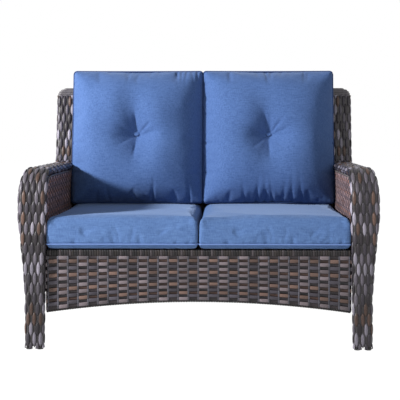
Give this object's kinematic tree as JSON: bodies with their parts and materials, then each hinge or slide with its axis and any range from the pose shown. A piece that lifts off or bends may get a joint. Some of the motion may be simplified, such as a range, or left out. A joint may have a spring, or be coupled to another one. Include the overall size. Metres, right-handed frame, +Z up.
{
  "type": "patio loveseat",
  "caption": "All-weather wicker loveseat on a steel frame, with rolled braided arms, an arched woven apron, loose seat cushions and button-tufted back cushions.",
  "frame": {"origin": "middle of the footprint, on the floor under the glides", "axes": "+X to the right along the width as seen from the front, +Y towards the back, +Z up"},
  "size_m": [1.216, 0.73, 0.972],
  "materials": {
    "braided_wicker": "satin",
    "woven_wicker": "satin",
    "wrapped_wicker": "satin",
    "frame_steel": "satin",
    "cushion_cloth": "matte",
    "button_cloth": "matte",
    "cushion_fill": "matte",
    "tuft_thread": "matte",
    "glide_plastic": "matte",
    "bolt_steel": "satin",
    "insert_brass": "satin"
  },
  "bodies": {
    "frame": {"apron_bars": "frame_steel", "apron_hem_rod": "frame_steel", "apron_hem_wrap": "wrapped_wicker", "apron_top_wrap": "wrapped_wicker", "apron_weave": "woven_wicker", "back_bars": "frame_steel", "back_crest_rail": "frame_steel", "back_crest_wrap": "wrapped_wicker", "back_front_weave": "woven_wicker", "back_rear_weave": "woven_wicker", "back_stiles": "frame_steel", "bolt_washers": "bolt_steel", "frame_bolts": "bolt_steel", "front_foot_glides": "glide_plastic", "left_arm_band": "braided_wicker", "left_arm_inner_tube": "frame_steel", "left_arm_outer_tube": "frame_steel", "left_arm_rungs": "frame_steel", "left_arm_seat_rail": "frame_steel", "left_arm_trim_cord": "wrapped_wicker", "left_inner_arm_weave": "woven_wicker", "left_outer_arm_weave": "woven_wicker", "left_rear_leg_band": "braided_wicker", "left_rear_leg_tubes": "frame_steel", "left_side_hem": "wrapped_wicker", "rear_foot_glides": "glide_plastic", "rear_skirt_rods": "frame_steel", "rear_skirt_weave": "woven_wicker", "right_arm_band": "braided_wicker", "right_arm_inner_tube": "frame_steel", "right_arm_outer_tube": "frame_steel", "right_arm_rungs": "frame_steel", "right_arm_seat_rail": "frame_steel", "right_arm_trim_cord": "wrapped_wicker", "right_inner_arm_weave": "woven_wicker", "right_outer_arm_weave": "woven_wicker", "right_rear_leg_band": "braided_wicker", "right_rear_leg_tubes": "frame_steel", "right_side_hem": "wrapped_wicker", "seat_crossbars": "frame_steel", "seat_deck_weave": "woven_wicker", "seat_front_rail": "frame_steel", "seat_rear_rail": "frame_steel", "seat_side_rails": "frame_steel", "threaded_inserts": "insert_brass"},
    "left_seat": {"left_seat_cushion": "cushion_cloth", "left_seat_foam": "cushion_fill"},
    "left_back": {"left_back_cushion": "cushion_cloth", "left_back_fill": "cushion_fill", "left_tuft_button": "button_cloth", "left_rear_button": "button_cloth", "left_tuft_cord": "tuft_thread"},
    "right_seat": {"right_seat_cushion": "cushion_cloth", "right_seat_foam": "cushion_fill"},
    "right_back": {"right_back_cushion": "cushion_cloth", "right_back_fill": "cushion_fill", "right_tuft_button": "button_cloth", "right_rear_button": "button_cloth", "right_tuft_cord": "tuft_thread"}
  },
  "joints": [
    {"name": "left_seat_slide", "type": "slide", "parent": "frame", "child": "left_seat", "axis": [0, -1, 0], "range_m": [0, 0.6]},
    {"name": "left_back_lift", "type": "slide", "parent": "frame", "child": "left_back", "axis": [0, 0, 1], "range_m": [0, 0.55]},
    {"name": "right_seat_slide", "type": "slide", "parent": "frame", "child": "right_seat", "axis": [0, -1, 0], "range_m": [0, 0.6]},
    {"name": "right_back_lift", "type": "slide", "parent": "frame", "child": "right_back", "axis": [0, 0, 1], "range_m": [0, 0.55]}
  ]
}
